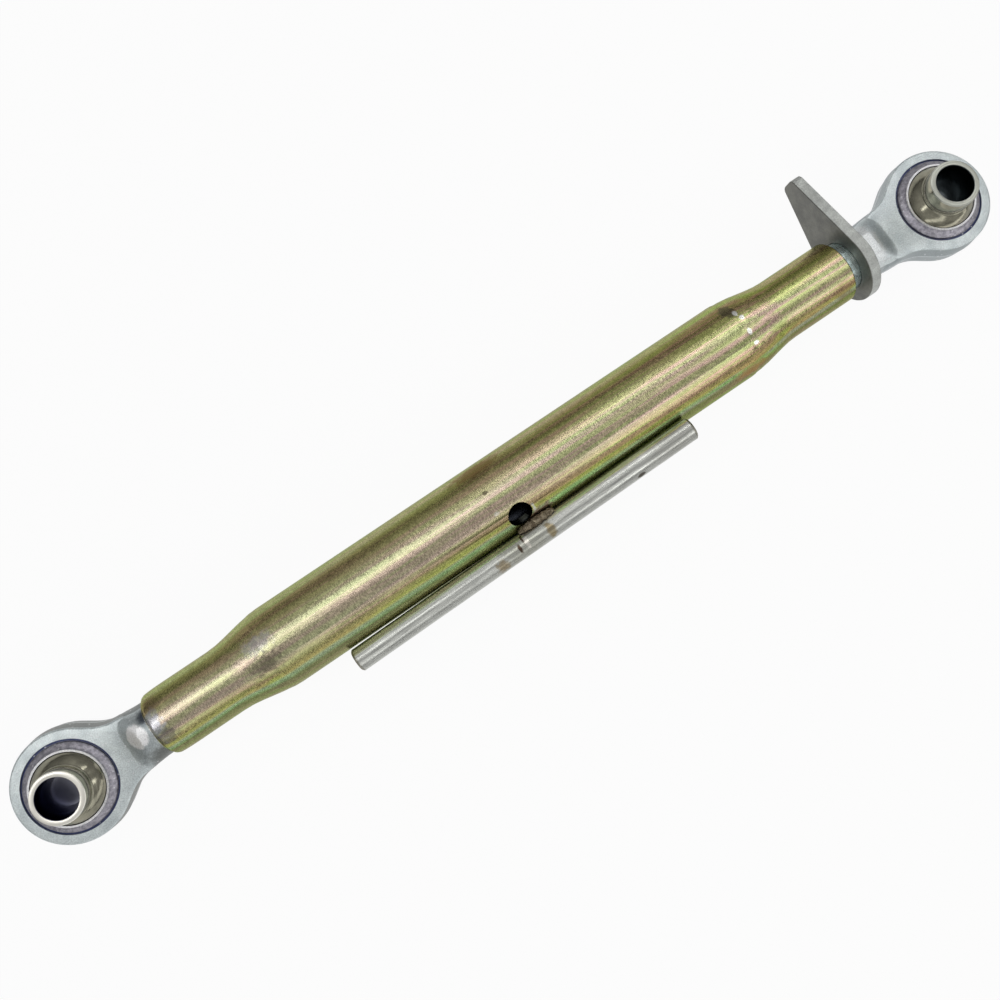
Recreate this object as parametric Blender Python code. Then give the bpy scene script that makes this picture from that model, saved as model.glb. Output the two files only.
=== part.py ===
# Tractor top link: a turnbuckle barrel between two forged eyes with swivel balls.
# Modelled in metres. The barrel lies along X with the pin bores upright.
# The link is shown screwed fully in, lying on the lower ends of its two balls.

import math

import bmesh
import bpy
from mathutils import Matrix, Vector

mm = 0.001

# Barrel
barrel_length = 410 * mm
tube_diameter = 42.4 * mm
tube_wall = 5.0 * mm
swaged_wall = 3.35 * mm
swaged_land = 37 * mm
swage_taper = 31 * mm
thread_land = 62 * mm
end_round = 2.4 * mm
mouth_depth = 7.0 * mm
turning_hole_diameter = 13.0 * mm
turning_hole_place = -4.9 * mm
turning_hole_angle = math.radians(37)

# Threaded shanks
shank_length = 150 * mm
shank_chamfer = 2.0 * mm

# Forged eyes
eye_radius = 28.2 * mm
eye_thickness = 16.0 * mm
edge_round = 1.2 * mm
flank_draft = 0.6 * mm
neck_shoulder = 1.1 * mm
neck_reach = 53 * mm
neck_fillet = 12 * mm
neck_root_start = 14 * mm
neck_ramp_start = 23 * mm
neck_ramp_end = 39 * mm
neck_root_share = 0.85
plate_end_share = 0.7
neck_flat_depth = 1.4 * mm
neck_flat_length = 12 * mm
lip_rise = 3.0 * mm
lip_crown = 1.0 * mm
lip_root = 2.0 * mm
groove_radius = 22.6 * mm
groove_width = 1.1 * mm
groove_depth = 0.9 * mm

# Swivel balls
ball_diameter = 40.4 * mm
ball_width = 51.0 * mm
collar_diameter = 24.8 * mm
pin_bore = 19.3 * mm
collar_fillet = 1.6 * mm
collar_chamfer = 0.6 * mm

# Lock plate
plate_radius = 21 * mm
plate_thickness = 6.0 * mm
plate_edge_break = 0.4 * mm
lever_reach = 52 * mm
lever_tip_width = 10.5 * mm
lever_tip_round = 2.2 * mm
lever_droop = math.radians(-1.5)
plate_standoff = 6.3 * mm

# Tommy bar and its welds
bar_diameter = 12 * mm
bar_length = 201 * mm
bar_place = -9.6 * mm
bar_angle = math.radians(16.4)
bar_skew = math.radians(2.9)
bar_chamfer = 0.8 * mm
weld_near_radius = 2.8 * mm
weld_far_radius = 3.2 * mm
weld_near_length = 22 * mm
weld_far_length = 34 * mm
weld_near_place = 0.5 * mm
weld_far_place = -2 * mm
weld_ripples = 7

# How the eyes are turned about the barrel in the photograph
left_eye_roll = math.radians(3.5)
right_eye_roll = math.radians(-6.8)

# Clearances
bore_clearance = 3.0 * mm
gap = 0.3 * mm
thread_gap = 0.3 * mm
ball_gap = 0.3 * mm
mouth_gap = 0.4 * mm

# Facets
round_steps = 44
ball_arc_steps = 4
socket_arc_steps = 16
corner_steps = 2

# Worked out from the sizes above
half_barrel = barrel_length / 2
tube_radius = tube_diameter / 2
bore_radius = tube_radius - tube_wall
shank_radius = bore_radius - bore_clearance
thread_bore_radius = shank_radius + thread_gap
swaged_radius = thread_bore_radius + swaged_wall
neck_radius = shank_radius + neck_shoulder
mouth_radius = neck_radius + mouth_gap
face_height = eye_thickness / 2
ball_radius = ball_diameter / 2
socket_radius = ball_radius + ball_gap
bar_distance = tube_radius + gap + bar_diameter / 2
left_shoulder = -half_barrel + mouth_depth - gap
right_shoulder = half_barrel + plate_standoff + plate_thickness + gap
left_eye_place = left_shoulder - neck_reach
right_eye_place = right_shoulder + neck_reach


def metal(name, colour, roughness, metallic=1.0):
    material = bpy.data.materials.new(name)
    material.use_nodes = True
    shader = material.node_tree.nodes["Principled BSDF"]
    shader.inputs["Base Color"].default_value = (*colour, 1.0)
    shader.inputs["Roughness"].default_value = roughness
    shader.inputs["Metallic"].default_value = metallic
    return material


def add_object(name, bm, material=None, parent=None, crease=30):
    bmesh.ops.remove_doubles(bm, verts=bm.verts, dist=1e-6)
    bmesh.ops.recalc_face_normals(bm, faces=bm.faces)
    mesh = bpy.data.meshes.new(name)
    bm.to_mesh(mesh)
    bm.free()
    mesh.shade_smooth()
    mesh.set_sharp_from_angle(angle=math.radians(crease))
    made = bpy.data.objects.new(name, mesh)
    bpy.context.scene.collection.objects.link(made)
    if material:
        mesh.materials.append(material)
    if parent:
        made.parent = parent
    return made


def add_empty(name, parent=None, place=(0, 0, 0), turn=(0, 0, 0)):
    empty = bpy.data.objects.new(name, None)
    bpy.context.scene.collection.objects.link(empty)
    empty.parent = parent
    empty.location = place
    empty.rotation_euler = turn
    return empty


def turned(profile, axis, closed=False, steps=round_steps):
    # Spins (along, radius) points about the X or Z axis.
    # An open profile starts and ends on the axis; a closed one makes a ring.
    bm = bmesh.new()
    if axis == "X":
        points = [bm.verts.new((along, 0, radius)) for along, radius in profile]
        direction = (1, 0, 0)
    else:
        points = [bm.verts.new((radius, 0, along)) for along, radius in profile]
        direction = (0, 0, 1)
    edges = [bm.edges.new(pair) for pair in zip(points, points[1:])]
    if closed:
        edges.append(bm.edges.new((points[-1], points[0])))
    bmesh.ops.spin(bm, geom=points + edges, axis=direction, angle=math.tau, steps=steps, use_merge=True)
    return bm


def arc(centre, radius, start, end, steps):
    # Points on an arc, as (along, radius) or (x, y), angles in degrees.
    points = []
    for step in range(steps + 1):
        angle = math.radians(start + (end - start) * step / steps)
        points.append((centre[0] + radius * math.cos(angle), centre[1] + radius * math.sin(angle)))
    return points


def eased(start, end, steps):
    # Points on a smooth S between two (along, radius) points.
    points = []
    for step in range(steps + 1):
        share = step / steps
        rise = (1 - math.cos(math.pi * share)) / 2
        points.append((start[0] + (end[0] - start[0]) * share, start[1] + (end[1] - start[1]) * rise))
    return points


def combine(target, tool, operation):
    tool.hide_render = True
    tool.display_type = "WIRE"
    modifier = target.modifiers.new(operation.title() + " " + tool.name, "BOOLEAN")
    modifier.operation = operation
    modifier.solver = "EXACT"
    modifier.object = tool


def add_rod(name, radius, length, parent, steps=32, material=None, chamfer=0.0):
    # A round rod along its own X axis, centred on its origin.
    half = length / 2
    profile = [(-half, 0), (-half, radius - chamfer)]
    if chamfer:
        profile += [(-half + chamfer, radius), (half - chamfer, radius)]
    profile += [(half, radius - chamfer), (half, 0)]
    return add_object(name, turned(profile, "X", steps=steps), material, parent)


def barrel_profile():
    # One closed loop: the outside from left to right, then the bore back to the left.
    left, right = -half_barrel, half_barrel
    round_centre = swaged_radius - end_round
    outside = arc((left + end_round, round_centre), end_round, 180, 90, 3)
    outside += eased((left + swaged_land, swaged_radius), (left + swaged_land + swage_taper, tube_radius), 6)
    outside += eased((right - swaged_land - swage_taper, tube_radius), (right - swaged_land, swaged_radius), 6)
    edge_break = end_round / 4
    outside += [(right - edge_break, swaged_radius), (right, swaged_radius - edge_break)]
    lead_in = shank_chamfer / 2
    inside = [(right, thread_bore_radius + lead_in), (right - lead_in, thread_bore_radius)]
    inside += eased((right - thread_land, thread_bore_radius), (right - thread_land - swage_taper, bore_radius), 2)
    inside += eased((left + thread_land + swage_taper, bore_radius), (left + thread_land, thread_bore_radius), 2)
    inside += [(left + mouth_depth, thread_bore_radius), (left + mouth_depth, mouth_radius)]
    inside += [(left, mouth_radius)]
    return outside + inside


def make_barrel(parent, material):
    tube = add_object("barrel_tube", turned(barrel_profile(), "X", closed=True), material, parent)
    drill = add_rod("turning_hole_drill", turning_hole_diameter / 2, tube_diameter * 1.5, parent, steps=36)
    drill.location = (turning_hole_place, 0, 0)
    # The drill stands up, leaning from +Z toward the tommy bar side.
    lean = Vector((0, -math.sin(turning_hole_angle), math.cos(turning_hole_angle)))
    drill.rotation_euler = lean.to_track_quat("X", "Y").to_euler()
    combine(tube, drill, "DIFFERENCE")
    return tube


def bar_frame():
    # The bar's own axes: X along it, Y outward from the barrel, Z round the barrel.
    outward = Vector((0, -math.cos(bar_angle), math.sin(bar_angle)))
    around = Vector((0, math.sin(bar_angle), math.cos(bar_angle)))
    along = Vector((math.cos(bar_skew), 0, 0)) + math.sin(bar_skew) * around
    side = along.cross(outward)
    turn = Matrix((along, outward, side)).transposed().to_4x4()
    return Matrix.Translation(Vector((bar_place, 0, 0)) + outward * bar_distance) @ turn


def make_tommy_bar(parent, material):
    bar = add_rod("tommy_bar", bar_diameter / 2, bar_length, parent, 32, material, bar_chamfer)
    bar.matrix_local = bar_frame()
    return bar


def weld_centre(radius, side):
    # Where a fillet weld's middle lies, in the bar's own Y and Z, so that it bites both rounds.
    bite = radius / 2
    from_tube = tube_radius + radius - bite
    from_bar = bar_diameter / 2 + radius - bite
    outward = (from_tube ** 2 - from_bar ** 2 + bar_distance ** 2) / (2 * bar_distance)
    around = math.sqrt(from_tube ** 2 - outward ** 2)
    return outward - bar_distance, side * around


def make_weld(name, parent, material, radius, length, place, side):
    # A rippled bead in the groove between bar and tube, hollowed by both.
    outward, around = weld_centre(radius, side)
    profile = [(-length / 2, 0)]
    steps = weld_ripples * 4
    for step in range(1, steps):
        share = step / steps
        taper = math.sin(math.pi * share) ** 0.35
        ripple = 1 + 0.07 * math.cos(math.tau * weld_ripples * share)
        profile.append((length * (share - 0.5), radius * taper * ripple))
    profile.append((length / 2, 0))
    bead = add_object(name, turned(profile, "X", steps=20), material, parent, crease=60)
    bead.matrix_local = bar_frame() @ Matrix.Translation((place - bar_place, outward, around))
    tube_cut = add_rod(name + "_tube_cut", tube_radius + gap, length * 3, parent, steps=112)
    bar_cut = add_rod(name + "_bar_cut", bar_diameter / 2 + gap, length * 3, parent, steps=48)
    bar_cut.matrix_local = bar_frame() @ Matrix.Translation((place - bar_place, 0, 0))
    combine(bead, tube_cut, "DIFFERENCE")
    combine(bead, bar_cut, "DIFFERENCE")
    return bead


def make_shank(name, parent, material, inner_end, shoulder):
    # The shank runs from the eye's shoulder into the barrel.
    shank = add_rod(name, shank_radius, shank_length, parent, 48, material, shank_chamfer)
    toward_middle = 1 if inner_end > shoulder else -1
    shank.location = (shoulder + toward_middle * shank_length / 2, 0, 0)
    return shank


def eye_outline(inset):
    # Plan of the forging, neck toward +X: the ring, two fillets and the neck's root.
    half_width = neck_radius - inset
    fillet = neck_fillet + inset
    fillet_y = neck_radius + neck_fillet
    fillet_x = math.sqrt((eye_radius + neck_fillet) ** 2 - fillet_y ** 2)
    meeting = math.degrees(math.atan2(fillet_y, fillet_x))
    upper = arc((fillet_x, fillet_y), fillet, 270, 180 + meeting, 5)
    ring = arc((0, 0), eye_radius - inset, meeting, 360 - meeting, 30)
    lower = arc((fillet_x, -fillet_y), fillet, 180 - meeting, 90, 5)
    end_width = half_width * plate_end_share
    root = [(neck_ramp_end, -end_width), (neck_ramp_end, end_width)]
    return upper + ring[1:-1] + lower + root


def eye_plate():
    # Drafted flanks that meet in a parting line at mid-thickness, with rounded face edges.
    levels = []
    for step in range(corner_steps + 1):
        angle = math.pi / 2 * step / corner_steps
        height = face_height - edge_round + edge_round * math.sin(angle)
        levels.append((height, flank_draft + edge_round * (1 - math.cos(angle))))
    levels = [(-height, inset) for height, inset in reversed(levels)] + [(0, 0)] + levels
    bm = bmesh.new()
    rings = []
    for height, inset in levels:
        rings.append([bm.verts.new((x, y, height)) for x, y in eye_outline(inset)])
    for below, above in zip(rings, rings[1:]):
        count = len(below)
        for k in range(count):
            after = (k + 1) % count
            bm.faces.new((below[k], below[after], above[after], above[k]))
    bm.faces.new(rings[0])
    bm.faces.new(rings[-1])
    return bm


def neck_profile():
    inside = face_height * neck_root_share
    profile = [(neck_root_start, 0), (neck_root_start, inside)]
    profile += eased((neck_ramp_start, inside), (neck_ramp_end, neck_radius), 6)
    chamfer = edge_round / 2
    profile += [(neck_reach - chamfer, neck_radius), (neck_reach, neck_radius - chamfer), (neck_reach, 0)]
    return profile


def lip_profile(side):
    # The rolled lip that holds the ball, rising from the groove to its inner edge.
    top = face_height + lip_rise
    inner = math.sqrt(socket_radius ** 2 - top ** 2)
    toe = groove_radius - groove_width
    root = face_height - groove_depth - gap
    points = [(root, inner - lip_root), (root, toe)]
    points += eased((face_height, toe), (top, inner + lip_crown), 4)
    points += [(top, inner - lip_root)]
    return [(side * along, radius) for along, radius in points]


def make_eye(name, parent, material):
    # An eye in its own frame: bore upright at the origin, neck toward +X.
    eye = add_object(name, eye_plate(), material, parent, crease=40)
    neck = add_object(name + "_neck_form", turned(neck_profile(), "X", steps=36), None, parent)
    combine(eye, neck, "UNION")
    for side, word in ((1, "upper"), (-1, "lower")):
        recess = add_rod(name + "_recess_" + word, groove_radius, face_height, parent, steps=40)
        recess.rotation_euler = (0, math.pi / 2, 0)
        recess.location = (0, 0, side * (face_height * 1.5 - groove_depth))
        combine(eye, recess, "DIFFERENCE")
        lip = add_object(
            name + "_lip_" + word, turned(lip_profile(side), "Z", closed=True, steps=40), None, parent)
        combine(eye, lip, "UNION")
        flat_bm = bmesh.new()
        bmesh.ops.create_cube(flat_bm, size=1)
        flat = add_object(name + "_flat_" + word, flat_bm, None, parent)
        flat.scale = (neck_flat_length, neck_radius * 2, neck_flat_depth * 2)
        flat.location = (neck_ramp_end + neck_flat_length / 2, 0, side * neck_radius)
        combine(eye, flat, "DIFFERENCE")
    socket_profile = arc((0, 0), socket_radius, 180, 0, socket_arc_steps)
    socket_profile[0] = (-socket_radius, 0)
    socket_profile[-1] = (socket_radius, 0)
    socket = add_object(name + "_socket_form", turned(socket_profile, "Z", steps=40), None, parent)
    combine(eye, socket, "DIFFERENCE")
    return eye


def ball_profile():
    # Closed loop: the bore, the lower collar, the sphere and the upper collar.
    half = ball_width / 2
    collar = collar_diameter / 2
    bore = pin_bore / 2
    # The fillet rolls between the collar's side and the sphere.
    fillet_radius = collar + collar_fillet
    fillet_height = math.sqrt((ball_radius + collar_fillet) ** 2 - fillet_radius ** 2)
    meeting = math.degrees(math.atan2(fillet_radius, fillet_height))
    upper = arc((0, 0), ball_radius, 90, meeting, ball_arc_steps)
    upper += arc((fillet_height, fillet_radius), collar_fillet, 180 + meeting, 270, 3)[1:]
    upper += [(half - collar_chamfer, collar), (half, collar - collar_chamfer)]
    upper += [(half, bore + collar_chamfer), (half - collar_chamfer, bore)]
    lower = [(-along, radius) for along, radius in reversed(upper)]
    return upper + lower[:-1]


def make_ball(name, parent, material):
    return add_object(name, turned(ball_profile(), "Z", closed=True, steps=40), material, parent)


def lock_plate_outline():
    # A disc with two straight edges that run off it to the lever's tip, in (y, z).
    tip = Vector((lever_reach, lever_tip_width / 2))
    tangent = math.degrees(math.atan2(tip.y, tip.x) + math.acos(plate_radius / tip.length))
    return [(tip.x, -tip.y), (tip.x, tip.y)] + arc((0, 0), plate_radius, tangent, 360 - tangent, 36)


def make_lock_plate(parent, material):
    bm = bmesh.new()
    outline = [bm.verts.new((0, y, z)) for y, z in lock_plate_outline()]
    face = bm.faces.new(outline)
    bmesh.ops.bevel(
        bm, geom=outline[:2], offset=lever_tip_round, segments=4, profile=0.5, affect="VERTICES")
    face = bm.faces[:][0]
    raised = bmesh.ops.extrude_face_region(bm, geom=[face])
    corners = [item for item in raised["geom"] if isinstance(item, bmesh.types.BMVert)]
    bmesh.ops.translate(bm, verts=corners, vec=(plate_thickness, 0, 0))
    plate = add_object("lock_plate", bm, material, parent)
    bevel = plate.modifiers.new("Broken edges", "BEVEL")
    bevel.width = plate_edge_break
    bevel.segments = 1
    bevel.limit_method = "ANGLE"
    bevel.angle_limit = math.radians(60)
    plate.location = (half_barrel + plate_standoff, 0, 0)
    plate.rotation_euler = (lever_droop, 0, 0)
    hole_length = plate_thickness * 3
    hole = add_rod("lock_plate_hole", thread_bore_radius, hole_length, parent, steps=48)
    hole.location = plate.location
    combine(plate, hole, "DIFFERENCE")
    return plate


def rest_on_floor(root):
    # Moves the whole link so that the middle of its underside is the world origin.
    bpy.context.view_layer.update()
    graph = bpy.context.evaluated_depsgraph_get()
    corners = []
    for made in bpy.context.scene.objects:
        if made.type == "MESH" and not made.hide_render:
            shown = made.evaluated_get(graph)
            corners += [shown.matrix_world @ vertex.co for vertex in shown.data.vertices]
    lows = [min(corner[axis] for corner in corners) for axis in range(3)]
    highs = [max(corner[axis] for corner in corners) for axis in range(3)]
    root.location = (-(lows[0] + highs[0]) / 2, -(lows[1] + highs[1]) / 2, -lows[2])
    bpy.context.view_layer.update()


def main():
    for old in list(bpy.data.objects):
        bpy.data.objects.remove(old)

    yellow_zinc = metal("yellow_zinc", (0.52, 0.45, 0.22), 0.32)
    bright_zinc = metal("bright_zinc", (0.62, 0.63, 0.58), 0.35)
    dull_zinc = metal("dull_zinc", (0.36, 0.36, 0.33), 0.5)
    forged_zinc = metal("forged_zinc", (0.55, 0.60, 0.62), 0.45)
    shank_zinc = metal("shank_zinc", (0.40, 0.48, 0.50), 0.35)
    polished_steel = metal("polished_steel", (0.60, 0.57, 0.48), 0.15)
    weld_metal = metal("weld_metal", (0.36, 0.29, 0.24), 0.6)

    link = add_empty("link_axis")
    make_barrel(link, yellow_zinc)
    make_tommy_bar(link, bright_zinc)
    make_weld("weld_bead_near", link, weld_metal, weld_near_radius, weld_near_length, weld_near_place, -1)
    make_weld("weld_bead_far", link, weld_metal, weld_far_radius, weld_far_length, weld_far_place, 1)
    make_shank("left_threaded_shank", link, shank_zinc, 0, left_shoulder)
    make_shank("right_threaded_shank", link, shank_zinc, 0, right_shoulder)
    make_lock_plate(link, dull_zinc)

    left = add_empty("left_eye_frame", link, (left_eye_place, 0, 0), (left_eye_roll, 0, 0))
    make_eye("left_eye", left, forged_zinc)
    make_ball("left_ball", left, polished_steel)
    # The right eye faces the other way; its roll is taken about the same barrel axis.
    right = add_empty("right_eye_frame", link, (right_eye_place, 0, 0), (right_eye_roll, 0, 0))
    facing = add_empty("right_eye_facing", right, (0, 0, 0), (0, 0, math.pi))
    make_eye("right_eye", facing, forged_zinc)
    make_ball("right_ball", facing, polished_steel)

    rest_on_floor(link)


main()
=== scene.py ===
import math

import bmesh
import bpy
import numpy as np
from mathutils import Matrix, Vector, noise


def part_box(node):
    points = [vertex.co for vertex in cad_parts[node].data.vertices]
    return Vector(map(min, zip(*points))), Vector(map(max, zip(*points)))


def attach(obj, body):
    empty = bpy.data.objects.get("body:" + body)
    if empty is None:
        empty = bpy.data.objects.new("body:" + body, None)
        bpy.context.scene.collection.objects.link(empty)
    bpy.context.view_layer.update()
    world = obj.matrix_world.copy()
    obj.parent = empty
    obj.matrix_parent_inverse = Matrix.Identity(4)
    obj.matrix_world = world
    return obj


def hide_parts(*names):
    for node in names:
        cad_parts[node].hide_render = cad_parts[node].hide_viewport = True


# Tractor top link: a plated turnbuckle with two swivel-ball eyes, dressed for a studio picture.
# Everything is in metres, in the row frame, with the barrel along X.

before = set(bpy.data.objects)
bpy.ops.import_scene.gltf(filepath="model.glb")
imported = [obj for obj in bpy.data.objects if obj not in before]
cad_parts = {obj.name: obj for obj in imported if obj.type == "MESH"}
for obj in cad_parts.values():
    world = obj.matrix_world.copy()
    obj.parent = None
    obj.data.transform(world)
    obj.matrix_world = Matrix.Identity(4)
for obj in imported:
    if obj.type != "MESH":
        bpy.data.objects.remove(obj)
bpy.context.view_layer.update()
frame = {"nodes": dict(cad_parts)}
nodes = frame["nodes"]
mm = 0.001
print("frame loaded,", len(nodes), "nodes")


def middle(node):
    low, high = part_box(node)
    return (low + high) / 2


def longAxis(node):
    # A rod's own middle and direction, from where its mesh lies.
    points = np.array([vertex.co for vertex in nodes[node].data.vertices], float)
    centre = (points.max(0) + points.min(0)) / 2
    direction = np.linalg.svd(points - points.mean(0), full_matrices=False)[2][0]
    direction = Vector(direction if direction[0] > 0 else -direction)
    return Vector(centre), direction


linkAxis = middle("barrel_tube")
tubeLow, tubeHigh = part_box("barrel_tube")
ballCentres = {"left": middle("left_ball"), "right": middle("right_ball")}

# Camera above the barrel, left of its middle, leaning a little toward the right eye
camera = {
    "fromLeftEye": Vector((200.05, 0.14, 456.06)) * mm,
    "spin": math.radians(33.77),
    "lean": Vector((-0.0503, 0.081, 0.0028)),
    "lens": 32.85,
    "sensor": 36,
    "nearest": 0.01,
    "farthest": 50,
}


def makeCamera():
    data = bpy.data.cameras.new("camera")
    data.lens = camera["lens"]
    data.sensor_width = camera["sensor"]
    data.clip_start = camera["nearest"]
    data.clip_end = camera["farthest"]
    made = bpy.data.objects.new("camera", data)
    bpy.context.scene.collection.objects.link(made)
    lean = camera["lean"]
    turn = Matrix.Rotation(lean.length, 3, lean.normalized()) @ Matrix.Rotation(camera["spin"], 3, "Z")
    place = ballCentres["left"] + camera["fromLeftEye"]
    made.matrix_world = Matrix.Translation(place) @ turn.transposed().to_4x4()
    bpy.context.scene.camera = made


makeCamera()
print("camera placed")


# Small helpers for node trees

def feed(tree, socket, value):
    if isinstance(value, bpy.types.NodeSocket):
        tree.links.new(value, socket)
    elif value is not None:
        if socket.type == "RGBA" and len(value) == 3:
            value = (*value, 1.0)
        socket.default_value = value


def addNode(tree, kind, inputs=None, **settings):
    made = tree.nodes.new("ShaderNode" + kind)
    for setting, value in settings.items():
        setattr(made, setting, value)
    for socket, value in (inputs or {}).items():
        feed(tree, made.inputs[socket], value)
    return made


def calc(tree, operation, *values):
    return addNode(tree, "Math", dict(enumerate(values)), operation=operation).outputs[0]


def vectorCalc(tree, operation, *values, output=0):
    made = addNode(tree, "VectorMath", dict(enumerate(values)), operation=operation)
    return made.outputs[output]


def fade(tree, value, low, high, toLow=0.0, toHigh=1.0):
    inputs = {0: value, 1: low, 2: high, 3: toLow, 4: toHigh}
    return addNode(tree, "MapRange", inputs, interpolation_type="SMOOTHSTEP").outputs[0]


def mixColour(tree, share, first, second, way="MIX"):
    made = addNode(tree, "Mix", data_type="RGBA", blend_type=way)
    for index, value in ((0, share), (6, first), (7, second)):
        feed(tree, made.inputs[index], value)
    return made.outputs[2]


def bands(tree, value, stops):
    made = addNode(tree, "ValToRGB", {0: value})
    made.color_ramp.interpolation = "EASE"
    elements = made.color_ramp.elements
    while len(elements) < len(stops):
        elements.new(0.5)
    for element, (place, colour) in zip(elements, stops):
        element.position = place
        element.color = (*colour, 1.0)
    return made.outputs[0]


def newGroup(name, inputs, outputs):
    tree = bpy.data.node_groups.new(name, "ShaderNodeTree")
    for label, kind, value in inputs:
        socket = tree.interface.new_socket(name=label, in_out="INPUT", socket_type="NodeSocket" + kind)
        if value is not None:
            socket.default_value = value
    for label, kind in outputs:
        tree.interface.new_socket(name=label, in_out="OUTPUT", socket_type="NodeSocket" + kind)
    source = tree.nodes.new("NodeGroupInput")
    sink = tree.nodes.new("NodeGroupOutput")
    return tree, source.outputs, sink.inputs


def useGroup(tree, group, **inputs):
    made = tree.nodes.new("ShaderNodeGroup")
    made.node_tree = group
    for label, value in inputs.items():
        feed(tree, made.inputs[label], value)
    return made.outputs


# Shared effects

def makeGrainGroup():
    # Fine strokes: Fineness counts them per metre along each of the piece's own axes.
    tree, inputs, outputs = newGroup(
        "grain",
        [("Place", "Vector", None), ("Fineness", "Vector", (1000, 1000, 1000)), ("Contrast", "Float", 1.0)],
        [("Mask", "Float"), ("Shade", "Float")])
    scaled = vectorCalc(tree, "MULTIPLY", inputs["Place"], inputs["Fineness"])
    strokes = addNode(tree, "TexNoise", {"Vector": scaled, "Scale": 1.0, "Detail": 3.0, "Roughness": 0.62})
    mask = fade(tree, strokes.outputs[0], 0.33, 0.67)
    feed(tree, outputs["Mask"], mask)
    swing = calc(tree, "MULTIPLY", calc(tree, "SUBTRACT", mask, 0.5), inputs["Contrast"])
    feed(tree, outputs["Shade"], calc(tree, "ADD", swing, 1.0))
    return tree


def makeBlotchGroup():
    # Soft uneven patches about Size across; Cover says how much of the surface they take.
    tree, inputs, outputs = newGroup(
        "blotches",
        [("Place", "Vector", None), ("Size", "Float", 0.01), ("Cover", "Float", 0.5), ("Edge", "Float", 0.1)],
        [("Mask", "Float")])
    scale = calc(tree, "DIVIDE", 1.0, inputs["Size"])
    settings = {"Vector": inputs["Place"], "Scale": scale, "Detail": 4.0, "Roughness": 0.55}
    cloud = addNode(tree, "TexNoise", settings).outputs[0]
    level = calc(tree, "SUBTRACT", 0.75, calc(tree, "MULTIPLY", inputs["Cover"], 0.5))
    low = calc(tree, "SUBTRACT", level, inputs["Edge"])
    high = calc(tree, "ADD", level, inputs["Edge"])
    feed(tree, outputs["Mask"], fade(tree, cloud, low, high))
    return tree


def makeSpotGroup():
    # One mark at Centre with half-widths Reach, and a ragged edge.
    tree, inputs, outputs = newGroup(
        "spot",
        [("Place", "Vector", None), ("Centre", "Vector", (0, 0, 0)), ("Reach", "Vector", (0.01, 0.01, 0.01)),
         ("Ragged", "Float", 0.3), ("Soft", "Float", 0.3)],
        [("Mask", "Float")])
    offset = vectorCalc(tree, "SUBTRACT", inputs["Place"], inputs["Centre"])
    distance = vectorCalc(tree, "LENGTH", vectorCalc(tree, "DIVIDE", offset, inputs["Reach"]), output=1)
    cloud = addNode(tree, "TexNoise", {"Vector": inputs["Place"], "Scale": 420.0, "Detail": 3.0})
    swing = calc(tree, "MULTIPLY", calc(tree, "SUBTRACT", cloud.outputs[0], 0.5), inputs["Ragged"])
    edge = calc(tree, "ADD", distance, calc(tree, "MULTIPLY", swing, 2.0))
    outer = calc(tree, "ADD", 1.0, inputs["Soft"])
    inner = calc(tree, "SUBTRACT", 1.0, inputs["Soft"])
    feed(tree, outputs["Mask"], fade(tree, edge, outer, inner))
    return tree


def makeChipGroup():
    # Sparse small nicks about Size across; Rarity near 1 leaves few.
    tree, inputs, outputs = newGroup(
        "chips",
        [("Place", "Vector", None), ("Size", "Float", 0.001), ("Rarity", "Float", 0.9)],
        [("Mask", "Float")])
    scale = calc(tree, "DIVIDE", 0.4, inputs["Size"])
    cells = addNode(tree, "TexVoronoi", {"Vector": inputs["Place"], "Scale": scale, "Randomness": 1.0})
    picked = addNode(tree, "TexWhiteNoise", {"Vector": cells.outputs["Color"]}, noise_dimensions="3D")
    chosen = calc(tree, "GREATER_THAN", picked.outputs[0], inputs["Rarity"])
    core = fade(tree, cells.outputs["Distance"], 0.42, 0.28)
    feed(tree, outputs["Mask"], calc(tree, "MULTIPLY", core, chosen))
    return tree


def makeTurnGroup():
    # Where a point lies round a rod along X: Turn is 0 on top, in turns, and Radius is in metres.
    tree, inputs, outputs = newGroup(
        "aroundAxis", [("Place", "Vector", None)],
        [("Along", "Float"), ("Turn", "Float"), ("Radius", "Float")])
    parts = addNode(tree, "SeparateXYZ", {0: inputs["Place"]}).outputs
    angle = calc(tree, "ARCTAN2", parts[1], parts[2])
    feed(tree, outputs["Along"], parts[0])
    feed(tree, outputs["Turn"], calc(tree, "DIVIDE", angle, math.tau))
    squares = [calc(tree, "MULTIPLY", part, part) for part in parts[1:]]
    feed(tree, outputs["Radius"], calc(tree, "SQRT", calc(tree, "ADD", *squares)))
    return tree


grain = makeGrainGroup()
blotches = makeBlotchGroup()
spot = makeSpotGroup()
chips = makeChipGroup()
aroundAxis = makeTurnGroup()


def newMaterial(name, origin, turn=(0, 0, 0)):
    # Returns the material, its tree and shader, and the place of a point in the piece's own frame.
    material = bpy.data.materials.new(name)
    material.use_nodes = True
    tree = material.node_tree
    shader = tree.nodes["Principled BSDF"]
    shader.inputs["Metallic"].default_value = 1.0
    coordinates = addNode(tree, "TexCoord").outputs["Object"]
    place = addNode(tree, "Mapping", {0: coordinates, 1: tuple(origin), 2: turn}, vector_type="TEXTURE")
    return material, tree, shader, place.outputs[0]


def addBump(tree, shader, height, distance, strength):
    bump = addNode(tree, "Bump", {"Height": height, "Distance": distance, "Strength": strength})
    feed(tree, shader.inputs["Normal"], bump.outputs[0])


def markColours(tree, place, colour, marks):
    # Lays each named mark over the colour in turn.
    for mark in marks:
        mask = useGroup(
            tree, spot, Place=place, Centre=mark["centre"], Reach=mark["reach"],
            Ragged=mark.get("ragged", 0.3), Soft=mark.get("soft", 0.3))["Mask"]
        mask = calc(tree, "MULTIPLY", mask, mark.get("strength", 1.0))
        colour = mixColour(tree, mask, colour, mark["colour"])
    return colour


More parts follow.
